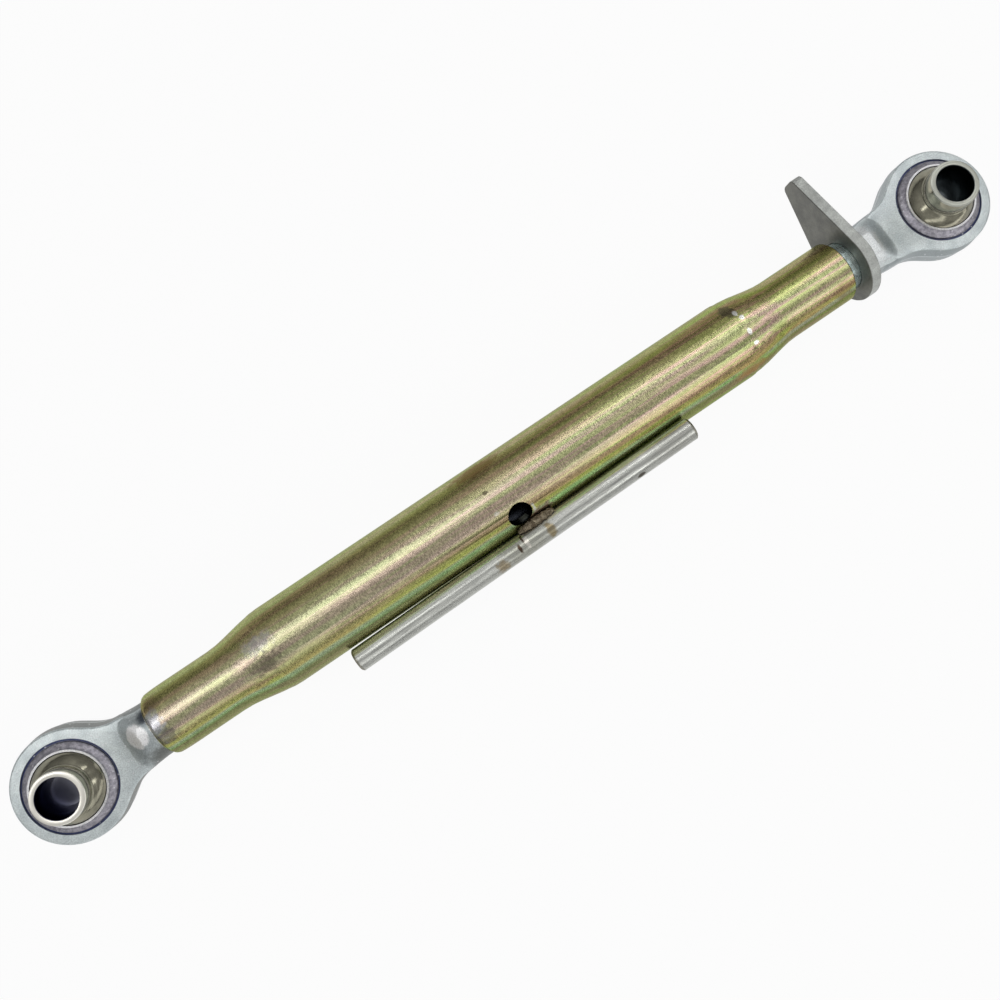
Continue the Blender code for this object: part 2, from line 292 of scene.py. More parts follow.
def bandShare(tree, around, drift, amount):
    # Turn runs from the -Y side to the +Y side, so it is flipped to run the way that the stops do.
    swing = calc(tree, "MULTIPLY", calc(tree, "SUBTRACT", drift, 0.5), amount)
    return calc(tree, "SUBTRACT", 0.5, calc(tree, "ADD", around["Turn"], swing))


def paint(node, material):
    data = nodes[node].data
    data.materials.clear()
    data.materials.append(material)


# Making pieces

creaseAngle = math.radians(38)


def newPiece(name, bm, body, slot, *replaced):
    mesh = bpy.data.meshes.new(name)
    bmesh.ops.recalc_face_normals(bm, faces=bm.faces)
    bm.to_mesh(mesh)
    bm.free()
    mesh.shade_smooth()
    mesh.set_sharp_from_angle(angle=creaseAngle)
    made = bpy.data.objects.new(name, mesh)
    bpy.context.scene.collection.objects.link(made)
    nodes[name] = made
    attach(made, body)
    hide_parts(*replaced)


def copyOf(node):
    bm = bmesh.new()
    bm.from_mesh(nodes[node].data)
    bmesh.ops.remove_doubles(bm, verts=bm.verts, dist=1e-6)
    return bm


def cutAcross(bm, places):
    # Adds rings of points where the rod along X gets more shape.
    for place in places:
        everything = bm.verts[:] + bm.edges[:] + bm.faces[:]
        bmesh.ops.bisect_plane(bm, geom=everything, plane_co=(place, 0, 0), plane_no=(1, 0, 0), dist=1e-5)


def ease(value, low, high):
    share = min(max((value - low) / (high - low), 0.0), 1.0)
    return share * share * (3 - 2 * share)


def arcPoints(radius, start, end, steps):
    turns = [start + (end - start) * step / steps for step in range(steps + 1)]
    return [(radius * math.cos(turn), radius * math.sin(turn)) for turn in turns]


def skin(rings, closeEnds=True):
    # Joins rings of points into one body.
    bm = bmesh.new()
    made = [[bm.verts.new(point) for point in ring] for ring in rings]
    pairs = list(zip(made, made[1:])) if closeEnds else list(zip(made, made[1:] + made[:1]))
    for first, second in pairs:
        count = len(first)
        for index in range(count):
            after = (index + 1) % count
            bm.faces.new((first[index], first[after], second[after], second[index]))
    if closeEnds:
        bm.faces.new(made[0])
        bm.faces.new(made[-1])
    bmesh.ops.recalc_face_normals(bm, faces=bm.faces)
    return bm


def spun(profile, steps=96, closeEnds=True):
    # Spins (height, radius) points about Z.
    turns = [math.tau * step / steps for step in range(steps)]
    return skin([[(out * math.cos(turn), out * math.sin(turn), height) for turn in turns]
                 for height, out in profile], closeEnds)


# Barrel: drawn tube, swaged at both ends, yellow zinc with bands of chromate colour and painted reflection
# along it

barrel = {
    # Each stop is (surface angle from the top toward the bar, colour). The bands are partly the chromate's
    # own tint and partly painted light: a painted highlight band near -10 degrees, a painted dark reflection
    # of the horizon near -49 degrees and painted shade beside the bar near 55 degrees.
    "chromateAndReflectionStops": [
        (-90, (0.46, 0.49, 0.28)),
        (-62, (0.46, 0.49, 0.26)),
        (-49, (0.34, 0.31, 0.14)),
        (-41, (0.38, 0.33, 0.16)),
        (-31, (0.50, 0.45, 0.24)),
        (-20, (0.56, 0.52, 0.33)),
        (-10, (0.64, 0.61, 0.44)),
        (-2, (0.58, 0.53, 0.38)),
        (8, (0.50, 0.46, 0.32)),
        (17, (0.54, 0.50, 0.36)),
        (25, (0.54, 0.49, 0.30)),
        (33, (0.42, 0.38, 0.18)),
        (40, (0.46, 0.46, 0.16)),
        (46, (0.38, 0.54, 0.31)),
        (55, (0.26, 0.28, 0.14)),
        (90, (0.44, 0.46, 0.27)),
    ],
    "bandDrift": 0.048, "driftSize": 40 * mm,
    # Narrow streaks of pink and green run along the tube, plainer toward its right end.
    "streaks": (14, 400, 400), "pink": (1.17, 0.89, 1.04), "green": (0.92, 1.10, 0.66),
    "strokes": (1900, 800, 800), "fine": (3200, 2400, 2400),
    "inside": (0.045, 0.05, 0.065),
    "roughness": (0.2, 0.34),
    "edgeTint": (0.62, 0.62, 0.5, 1),
    "innerWall": 15.4 * mm,
    "endSoftness": 0.75 * mm, "endFade": 3.2 * mm, "endRings": (1, 2, 3.5, 5.5, 8, 11),
    # Each shoulder is (place along the tube, depth); it fades out over shoulderRun.
    "shoulders": [(-142 * mm, 0.18 * mm), (138.5 * mm, 0.3 * mm)],
    "shoulderRings": (-3, -1.5, -0.5, 0.5, 1.5, 3, 5, 8), "shoulderRun": 17 * mm,
    "marks": [
        # The pale blue-white patch at the left mouth is a painted highlight.
        {"name": "left mouth painted highlight", "centre": (-202, 2, 16.5), "reach": (4, 7, 5),
         "colour": (0.66, 0.70, 0.80), "ragged": 1.2, "soft": 0.5, "strength": 0.7},
        {"name": "left swage bloom", "centre": (-142, 6.5, 19.8), "reach": (7, 4, 4),
         "colour": (0.62, 0.60, 0.68), "ragged": 1.2, "strength": 0.45, "soft": 0.6},
        {"name": "brown corner", "centre": (-200, 11, 13), "reach": (4, 4, 4),
         "colour": (0.24, 0.17, 0.10), "soft": 0.7, "ragged": 0.6, "strength": 0.7},
        {"name": "dark mottle", "centre": (-200, -6, 15.7), "reach": (5, 4, 4),
         "colour": (0.16, 0.15, 0.13), "ragged": 0.9, "strength": 0.7},
        {"name": "swage shade", "centre": (-143.5, -4, 20.4), "reach": (7, 5, 3),
         "colour": (0.16, 0.14, 0.10), "ragged": 2.2, "soft": 0.6, "strength": 0.65},
        {"name": "heat tint", "centre": (-11, 17.5, 11.8), "reach": (13, 5, 5),
         "colour": (0.20, 0.12, 0.05), "ragged": 0.6, "soft": 0.5, "strength": 0.8},
        # The small dent's dark spot is painted shade standing in for the dent.
        {"name": "small dent painted shade", "centre": (-13.9, 5.6, 20.4), "reach": (1.3, 0.9, 2),
         "colour": (0.12, 0.10, 0.06), "ragged": 1.4, "strength": 0.8},
        {"name": "press shade", "centre": (137.5, 13.5, 16), "reach": (3.5, 5, 4),
         "colour": (0.14, 0.12, 0.08), "ragged": 0.7, "strength": 0.8},
        {"name": "press mark one", "centre": (140.2, 10.6, 18), "reach": (1.2, 1.6, 2),
         "colour": (0.95, 0.95, 0.9)},
        {"name": "press mark two", "centre": (141.4, 7, 19.7), "reach": (1.4, 1.2, 2),
         "colour": (0.95, 0.95, 0.9)},
        {"name": "press mark three", "centre": (140.2, -1, 20.9), "reach": (1.2, 1.8, 2),
         "colour": (0.95, 0.95, 0.9)},
        {"name": "press mark four", "centre": (140.7, -7.5, 19.5), "reach": (1.5, 1.0, 2),
         "colour": (0.95, 0.95, 0.9)},
        {"name": "rough chip left", "centre": (-14.4, -6.1, 20.3), "reach": (1.4, 1.0, 2),
         "colour": (0.80, 0.78, 0.68), "ragged": 1.6, "strength": 0.7},
        {"name": "chip top", "centre": (-1.6, -9.5, 18.9), "reach": (1.4, 0.9, 2),
         "colour": (0.93, 0.93, 0.88)},
        {"name": "chip right", "centre": (2.6, -14.5, 15.4), "reach": (0.8, 3.4, 4),
         "colour": (0.90, 0.90, 0.84), "ragged": 1.2, "strength": 0.7},
        {"name": "weld spatter", "centre": (4.5, -17, 12.6), "reach": (8, 3.2, 4),
         "colour": (0.34, 0.23, 0.19), "ragged": 0.9, "strength": 0.85},
        {"name": "rust tint", "centre": (134.7, -17.3, 12.2), "reach": (9, 3, 4),
         "colour": (0.52, 0.27, 0.11), "ragged": 0.8, "soft": 0.6, "strength": 0.6},
        {"name": "brown end", "centre": (197, -10.7, 13), "reach": (5, 4, 4),
         "colour": (0.36, 0.24, 0.13), "ragged": 0.8, "soft": 0.6, "strength": 0.6},
    ],
}


def inMetres(marks):
    # Marks are written in millimetres, in the piece's own frame.
    return [dict(mark, centre=tuple(Vector(mark["centre"]) * mm), reach=tuple(Vector(mark["reach"]) * mm))
            for mark in marks]


def makeBarrel():
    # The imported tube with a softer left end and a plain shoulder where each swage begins.
    bm = copyOf("barrel_tube")
    half = (tubeHigh.x - tubeLow.x) / 2
    rings = [end * (half - step * mm) for end in (-1, 1) for step in barrel["endRings"]]
    rings += [place + step * mm for place, depth in barrel["shoulders"] for step in barrel["shoulderRings"]]
    cutAcross(bm, [linkAxis.x + ring for ring in rings])
    for vertex in bm.verts:
        along = vertex.co.x - linkAxis.x
        radial = Vector((0, vertex.co.y - linkAxis.y, vertex.co.z - linkAxis.z))
        if radial.length < barrel["innerWall"]:
            continue
        inward = 0.0
        if along < 0:
            inward += barrel["endSoftness"] * math.exp(-(half + along) / barrel["endFade"])
        for place, depth in barrel["shoulders"]:
            past = (along - place) * math.copysign(1, place)
            fading = 1 - ease(past, 2 * mm, barrel["shoulderRun"])
            inward += depth * ease(past, -1 * mm, 1 * mm) * fading
        vertex.co -= radial.normalized() * inward
    newPiece("barrel", bm, "barrel", "yellow_zinc", "barrel_tube")


def barrelMaterial():
    material, tree, shader, place = newMaterial("yellowZinc", linkAxis)
    around = useGroup(tree, aroundAxis, Place=place)
    stretched = vectorCalc(tree, "MULTIPLY", place, (0.35, 1, 1))
    drift = addNode(tree, "TexNoise", {"Vector": stretched, "Scale": 1 / barrel["driftSize"], "Detail": 3.0})
    share = bandShare(tree, around, drift.outputs[0], barrel["bandDrift"])
    colour = bands(tree, share, [(0.5 + angle / 360, tint) for angle, tint in barrel["chromateAndReflectionStops"]])
    streakPlace = vectorCalc(tree, "MULTIPLY", place, barrel["streaks"])
    streaks = addNode(tree, "TexNoise", {"Vector": streakPlace, "Scale": 1.0, "Detail": 2.0})
    streakMask = fade(tree, streaks.outputs[0], 0.35, 0.65)
    streakTint = mixColour(tree, streakMask, barrel["pink"], barrel["green"])
    streakShare = fade(tree, around["Along"], -120 * mm, 180 * mm, 0.5, 1.0)
    colour = mixColour(tree, streakShare, colour, mixColour(tree, 1.0, colour, streakTint, "MULTIPLY"))
    strokes = useGroup(tree, grain, Place=place, Fineness=barrel["strokes"], Contrast=0.5)
    fine = useGroup(tree, grain, Place=place, Fineness=barrel["fine"], Contrast=0.42)
    patches = useGroup(tree, blotches, Place=place, Size=3.5 * mm, Cover=0.5, Edge=0.2)
    shade = calc(tree, "MULTIPLY", strokes["Shade"], fine["Shade"])
    shade = calc(tree, "MULTIPLY", shade, fade(tree, patches["Mask"], 0, 1, 0.93, 1.07))
    colour = mixColour(tree, 1.0, colour, shade, "MULTIPLY")
    colour = markColours(tree, place, colour, inMetres(barrel["marks"]))
    # The walls of the turning hole and the bore behind it get painted shade: a near-black colour stands in
    # for the dark inside of the tube.
    nearHole = fade(tree, calc(tree, "ABSOLUTE", around["Along"]), 90 * mm, 80 * mm)
    inside = calc(tree, "MULTIPLY", nearHole, fade(tree, around["Radius"], 20.95 * mm, 20.5 * mm))
    colour = mixColour(tree, inside, colour, barrel["inside"])
    feed(tree, shader.inputs["Base Color"], colour)
    low, high = barrel["roughness"]
    feed(tree, shader.inputs["Roughness"], fade(tree, strokes["Mask"], 0, 1, low, high))
    shader.inputs["Specular Tint"].default_value = barrel["edgeTint"]
    addBump(tree, shader, calc(tree, "ADD", strokes["Mask"], fine["Mask"]), 0.00002, 0.5)
    return material


makeBarrel()
paint("barrel", barrelMaterial())
print("barrel finished")


# Tommy bar: drawn round bar, bright zinc, a little uneven, with two brown spots by the weld

bar = {
    "radius": 6.08 * mm, "chamfer": 0.8 * mm, "toTube": 0.14 * mm, "steps": 64, "rings": 180,
    "waves": 9 * mm, "waveDepth": 0.05 * mm,
    "nickPlace": 66 * mm, "nickTurn": math.radians(232), "nickWide": 1.6 * mm, "nickDepth": 0.6 * mm,
    # Each stop is (angle from the top toward the bar's outer side, grey level). The light bands are painted
    # reflections of the soft boxes and the dark bands are painted shade.
    "bands": [(-90, 0.60), (-60, 0.84), (-40, 0.92), (-28, 0.88), (-18, 0.62), (-9, 0.46), (0, 0.48),
              (8, 0.76), (17, 0.80), (26, 0.50), (38, 0.46), (52, 0.60), (90, 0.62)],
    "tint": (1, 1.015, 0.95), "end": (0.26, 0.25, 0.20),
    "roughness": (0.26, 0.38),
    "marks": [
        {"name": "dull middle", "centre": (-1, 0, 4), "reach": (15, 7, 6), "colour": (0.42, 0.42, 0.36),
         "soft": 0.4, "ragged": 0.6, "strength": 0.75},
        {"name": "brown spot left", "centre": (-15.7, -3, 5.2), "reach": (3, 4, 3),
         "colour": (0.34, 0.27, 0.16), "ragged": 0.8, "soft": 0.4, "strength": 0.8},
        {"name": "brown spot right", "centre": (13.9, -1.5, 5.6), "reach": (2.2, 5, 3),
         "colour": (0.30, 0.24, 0.13), "ragged": 0.8, "soft": 0.4, "strength": 0.85},
        {"name": "crack upper", "centre": (-0.8, 3.0, 4.6), "reach": (0.9, 2.4, 2),
         "colour": (0.10, 0.07, 0.05), "ragged": 0.6},
        {"name": "crack lower", "centre": (-4.2, -0.4, 5.8), "reach": (0.9, 2.4, 2),
         "colour": (0.10, 0.07, 0.05), "ragged": 0.6},
        {"name": "spatter run", "centre": (0.5, 1.5, 5.4), "reach": (1.2, 4, 2),
         "colour": (0.86, 0.82, 0.74), "ragged": 0.8, "strength": 0.7},
        {"name": "grey end", "centre": (88, 0, 5), "reach": (14, 7, 7), "colour": (0.46, 0.46, 0.42),
         "soft": 0.6, "ragged": 0.8, "strength": 0.6},
        # The nick's dark colour is painted shade in the cut.
        {"name": "nick", "centre": (66, -4.8, 3.7), "reach": (2.2, 1.2, 1.6),
         "colour": (0.12, 0.11, 0.09)},
    ],
}


def barRadius(along, turn):
    # A little uneven, with one nick.
    spotHere = Vector((along / bar["waves"], 1.5 * math.cos(turn), 1.5 * math.sin(turn)))
    nickAlong = math.exp(-((along - bar["nickPlace"]) / bar["nickWide"]) ** 2)
    nickAround = max(math.cos(turn - bar["nickTurn"]), 0) ** 8
    uneven = bar["waveDepth"] * (0.5 + noise.noise(spotHere))
    return bar["radius"] - uneven - bar["nickDepth"] * nickAlong * nickAround


def makeBar():
    centre, direction = longAxis("tommy_bar")
    low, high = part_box("tommy_bar")
    half = (high.x - low.x) / 2 / direction.x - 0.1 * mm
    toTube = (linkAxis - centre) - direction * (linkAxis - centre).dot(direction)
    centre = centre + toTube.normalized() * bar["toTube"]
    turns = [math.tau * step / bar["steps"] for step in range(bar["steps"])]
    rings = []
    for index in range(bar["rings"] + 1):
        along = half * (2 * index / bar["rings"] - 1)
        outs = [barRadius(along, turn) for turn in turns]
        rings.append([(along, out * math.sin(turn), out * math.cos(turn)) for out, turn in zip(outs, turns)])
    shrink = (bar["radius"] - bar["chamfer"]) / bar["radius"]
    for end, inner in ((0, 1), (-1, -2)):
        edge = rings[end]
        shoulder = edge[0][0] - math.copysign(bar["chamfer"], edge[0][0])
        rings[inner] = [(shoulder, y, z) for x, y, z in edge]
        rings[end] = [(x, y * shrink, z * shrink) for x, y, z in edge]
    bm = skin(rings)
    turn = direction.to_track_quat("X", "Z").to_matrix().to_4x4()
    bmesh.ops.transform(bm, matrix=Matrix.Translation(centre) @ turn, verts=bm.verts)
    newPiece("tommyBar", bm, "barrel", "bright_zinc", "tommy_bar")


def barMaterial():
    centre, direction = longAxis("tommy_bar")
    turn = direction.to_track_quat("X", "Z").to_euler()
    material, tree, shader, place = newMaterial("brightZinc", centre, turn)
    around = useGroup(tree, aroundAxis, Place=place)
    stretched = vectorCalc(tree, "MULTIPLY", place, (30, 80, 80))
    drift = addNode(tree, "TexNoise", {"Vector": stretched, "Scale": 1.0})
    share = bandShare(tree, around, drift.outputs[0], 0.05)
    stops = [(0.5 + angle / 360, [grey * part for part in bar["tint"]]) for angle, grey in bar["bands"]]
    colour = bands(tree, share, stops)
    lines = useGroup(tree, grain, Place=place, Fineness=(60, 1800, 1800), Contrast=0.25)
    speckle = useGroup(tree, grain, Place=place, Fineness=(1500, 1500, 1500), Contrast=0.25)
    shade = calc(tree, "MULTIPLY", lines["Shade"], speckle["Shade"])
    colour = mixColour(tree, 1.0, colour, shade, "MULTIPLY")
    colour = markColours(tree, place, colour, inMetres(bar["marks"]))
    low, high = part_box("tommy_bar")
    half = (high.x - low.x) / 2
    onEnd = fade(tree, calc(tree, "ABSOLUTE", around["Along"]), half - 1.6 * mm, half - 0.7 * mm)
    colour = mixColour(tree, onEnd, colour, bar["end"])
    feed(tree, shader.inputs["Base Color"], colour)
    low, high = bar["roughness"]
    feed(tree, shader.inputs["Roughness"], fade(tree, lines["Mask"], 0, 1, low, high))
    addBump(tree, shader, lines["Mask"], 0.00002, 0.4)
    return material


makeBar()
paint("tommyBar", barMaterial())
print("bar finished")


# Welds: rough beads, plated over, brownish

weld = {
    "pale": (0.33, 0.28, 0.20), "dark": (0.16, 0.125, 0.085),
    "craterSize": 1.6 * mm, "sunk": 0.22, "swing": 0.2,
}


def weldMaterial():
    material, tree, shader, place = newMaterial("weldMetal", linkAxis)
    patches = useGroup(tree, blotches, Place=place, Size=1.6 * mm, Cover=0.5, Edge=0.12)
    colour = mixColour(tree, patches["Mask"], weld["pale"], weld["dark"])
    feed(tree, shader.inputs["Base Color"], colour)
    shader.inputs["Roughness"].default_value = 0.5
    addBump(tree, shader, patches["Mask"], 0.0004, 0.8)
    return material


def makeWeld(node, name):
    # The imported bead, cut finer and roughened inward with small craters.
    bm = copyOf(node)
    bmesh.ops.subdivide_edges(bm, edges=bm.edges, cuts=3, use_grid_fill=True)
    bm.normal_update()
    for vertex in bm.verts:
        cloud = noise.fractal((vertex.co - linkAxis) / weld["craterSize"], 0.7, 2.1, 4)
        vertex.co -= vertex.normal * (weld["sunk"] + weld["swing"] * max(min(cloud, 1), -1)) * mm
    newPiece(name, bm, "barrel", "weld_metal", node)


makeWeld("weld_bead_near", "nearWeld")
makeWeld("weld_bead_far", "farWeld")
weldFinish = weldMaterial()
paint("nearWeld", weldFinish)
paint("farWeld", weldFinish)


# Eyes: shot-blasted forging, bluish zinc, with the neck rising out of a drafted ring

eye = {
    # Lengths here and in eyeSides are in millimetres, from the ball's centre.
    "radius": 28.2, "half": 8.0, "round": 1.2, "draft": 0.6, "flankAngle": math.radians(35),
    "rootWide": 15.2, "fillet": 21, "neck": 14.3, "rootStart": 14, "rootHigh": 7.5, "squareness": 4.5,
    "socket": 20.5, "lipRise": 3.0, "lipCrown": 1.0, "lipRoot": 2.0,
    "groove": 22.6, "grooveWide": 1.1, "grooveDeep": 0.9, "flatDepth": 1.1, "flatHalf": 16,
    "partingStep": 0.12, "partingHigh": 0.15, "endRound": 0.6, "reach": 53,
    "ringSteps": 72, "neckSteps": 64, "rampSteps": 20, "socketSteps": 48,
    "face": (0.80, 0.86, 0.86), "faceDark": (0.62, 0.68, 0.69), "parting": (0.75, 0.79, 0.80),
    "lip": (0.50, 0.48, 0.53), "lipDark": (0.30, 0.29, 0.33), "lipHighlight": (0.85, 0.85, 0.86),
    "grooveShade": (0.07, 0.08, 0.16), "nick": (0.9, 0.9, 0.92),
    "leftRoll": math.radians(3.5),
    "rightRoll": math.radians(-6.8),
}
eyeSides = {
    "left": {
        "rampStart": 28, "rampEnd": 43.5, "flatStart": 39.5, "facing": 0, "roll": eye["leftRoll"],
        "flank": (0.24, 0.25, 0.24),
        "marks": [
            {"name": "neck shade", "centre": (40, 0, 9), "reach": (10, 13, 9),
             "colour": (0.42, 0.46, 0.47), "soft": 0.5, "strength": 0.8},
            # The white patch on the pressed flat is a painted highlight.
            {"name": "pressed flat highlight", "centre": (39.3, 2, 10), "reach": (5.6, 6.4, 6),
             "colour": (1.0, 1.0, 1.0), "ragged": 0.15, "soft": 0.12},
            {"name": "lower neck shade", "centre": (45, -11, 7), "reach": (9, 6, 7),
             "colour": (0.20, 0.21, 0.20), "soft": 0.5},
            {"name": "mouth shade", "centre": (45.5, 7.5, 9), "reach": (3, 4, 5),
             "colour": (0.06, 0.07, 0.09), "soft": 0.6},
        ],
    },
    "right": {
        "rampStart": 31, "rampEnd": 48.5, "flatStart": 44.5, "facing": math.pi, "roll": eye["rightRoll"],
        "flank": (0.38, 0.42, 0.43),
        "marks": [
            {"name": "saddle shade", "centre": (38.5, 0, 9), "reach": (4, 9, 5),
             "colour": (0.46, 0.52, 0.54), "soft": 0.5, "strength": 0.8},
            {"name": "pale neck", "centre": (47, 1, 12), "reach": (4.5, 13, 9),
             "colour": (0.92, 0.94, 0.94), "soft": 0.5, "ragged": 0.5, "strength": 0.8},
        ],
    },
}


def block(low, high):
    bm = bmesh.new()
    bmesh.ops.create_cube(bm, size=1)
    for vertex in bm.verts:
        vertex.co = Vector([(l + h) / 2 + c * (h - l) for l, h, c in zip(low, high, vertex.co)])
    return bm


def combine(first, second, operation):
    # Boolean of two meshes through two helper objects, which are then taken away.
    helpers = []
    for bm in (first, second):
        mesh = bpy.data.meshes.new("helper")
        bm.to_mesh(mesh)
        bm.free()
        helper = bpy.data.objects.new("helper", mesh)
        bpy.context.scene.collection.objects.link(helper)
        helpers.append(helper)
    modifier = helpers[0].modifiers.new("combine", "BOOLEAN")
    modifier.operation = operation
    modifier.solver = "EXACT"
    modifier.object = helpers[1]
    result = bmesh.new()
    result.from_object(helpers[0], bpy.context.evaluated_depsgraph_get())
    for helper in helpers:
        mesh = helper.data
        bpy.data.objects.remove(helper)
        bpy.data.meshes.remove(mesh)
    return result


def eyePlan(inset):
    # The ring, and the straight flanks that run off it into the neck, which points toward +X.
    spread = eye["flankAngle"]
    ring = arcPoints(eye["radius"] - inset, math.pi / 2 - spread, math.pi * 1.5 + spread, eye["ringSteps"])
    cornerY = eye["rootWide"] - inset
    cornerX = (eye["radius"] - inset - cornerY * math.cos(spread)) / math.sin(spread)
    # A hollow fillet takes each flank into the side of the neck, where the plan then sinks away.
    fillet = eye["fillet"] + inset
    run = fillet * math.tan(spread / 2)
    side = []
    for step in range(9):
        turn = spread * (1 - step / 8)
        side.append((cornerX + run - fillet * math.sin(turn), cornerY + fillet * (1 - math.cos(turn))))
    endX = cornerX + run
    side += [(endX + 3, cornerY - 0.7), (endX + 5.5, cornerY - 3), (endX + 6.5, cornerY - 7)]
    return ring + [(x, -y) for x, y in side] + list(reversed(side))


def neckSection(side, along, inset=0.0):
    # One ring of the neck: a rounded box by the eye's ring that becomes round toward the thread.
    share = min(max((along - side["rampStart"]) / (side["rampEnd"] - side["rampStart"]), 0), 1)
    ramp = (1 - math.cos(math.pi * share)) / 2
    taper = ease(along, side["rampStart"], side["rampEnd"] + 2)
    wide = eye["rootWide"] + (eye["neck"] - eye["rootWide"]) * taper - inset
    high = eye["rootHigh"] * (1 - ramp) + eye["neck"] * ramp - inset
    power = 2 / (eye["squareness"] * (1 - ramp) + 2 * ramp)
    points = []
    for step in range(eye["neckSteps"]):
        turn = math.tau * step / eye["neckSteps"]
        across, up = math.cos(turn), math.sin(turn)
        points.append((along, math.copysign(abs(across) ** power, across) * wide,
                       math.copysign(abs(up) ** power, up) * high))
    return points


def edgeLevels():
    # Heights of the ring's outlines from the lower face to the upper, and how far each is set in.
    upper = []
    for step in range(5):
        angle = math.pi / 8 * step
        height = eye["half"] - eye["round"] + eye["round"] * math.sin(angle)
        upper.append((height, eye["draft"] + eye["round"] * (1 - math.cos(angle))))
    lower = [(-height, inset + eye["partingStep"]) for height, inset in reversed(upper)]
    return lower + [(-eye["partingHigh"], eye["partingStep"]), (0, 0)] + upper


def lipProfile(inner):
    # The rolled lip, from its root under the groove up to the ball.
    root = eye["half"] - eye["grooveDeep"] - 0.3
    out = eye["groove"] - eye["grooveWide"]
    lip = [(root, inner - eye["lipRoot"]), (root, out)]
    for step in range(9):
        share = step / 8
        rise = (1 - math.cos(math.pi * share)) / 2
        lip.append((eye["half"] + eye["lipRise"] * share, out + (inner + eye["lipCrown"] - out) * rise))
    lip.append((eye["half"] + eye["lipRise"], inner - eye["lipRoot"]))
    return lip


def makeEye(name):
    side = eyeSides[name]
    half, reach, socket, wide = eye["half"], eye["reach"], eye["socket"], eye["flatHalf"]
    body = skin([[(x, y, height) for x, y in eyePlan(inset)] for height, inset in edgeLevels()])
    ramp = side["rampEnd"] - side["rampStart"]
    places = [side["rampStart"] + ramp * step / eye["rampSteps"] for step in range(eye["rampSteps"] + 1)]
    sections = [neckSection(side, place) for place in [eye["rootStart"]] + places + [reach - eye["endRound"]]]
    sections.append(neckSection(side, reach, eye["endRound"]))
    body = combine(body, skin(sections), "UNION")
    lip = lipProfile(math.sqrt(socket ** 2 - (half + eye["lipRise"]) ** 2))
    recess = [(half - eye["grooveDeep"], 0.001), (half - eye["grooveDeep"], eye["groove"]),
              (half + 12, eye["groove"]), (half + 12, 0.001)]
    low, high = eye["neck"] - eye["flatDepth"], eye["neck"] + 4
    for up in (1, -1):
        body = combine(body, spun([(up * height, out) for height, out in recess]), "DIFFERENCE")
        body = combine(body, spun([(up * height, out) for height, out in lip], closeEnds=False), "UNION")
        bottom, top = sorted((up * low, up * high))
        flat = block((side["flatStart"], -wide, bottom), (reach + 1, wide, top))
        body = combine(body, flat, "DIFFERENCE")
    turns = [math.pi * step / eye["socketSteps"] for step in range(eye["socketSteps"] + 1)]
    hollow = [(-socket * math.cos(turn), max(socket * math.sin(turn), 0.001)) for turn in turns]
    body = combine(body, spun(hollow), "DIFFERENCE")
    bmesh.ops.remove_doubles(body, verts=body.verts, dist=0.005)
    place = Matrix.Translation(ballCentres[name]) @ Matrix.Rotation(side["roll"], 4, "X")
    place = place @ Matrix.Rotation(side["facing"], 4, "Z") @ Matrix.Diagonal((mm, mm, mm, 1))
    bmesh.ops.transform(body, matrix=place, verts=body.verts)
    newPiece(name + "Eye", body, name + "_eye", "forged_zinc", name + "_eye")


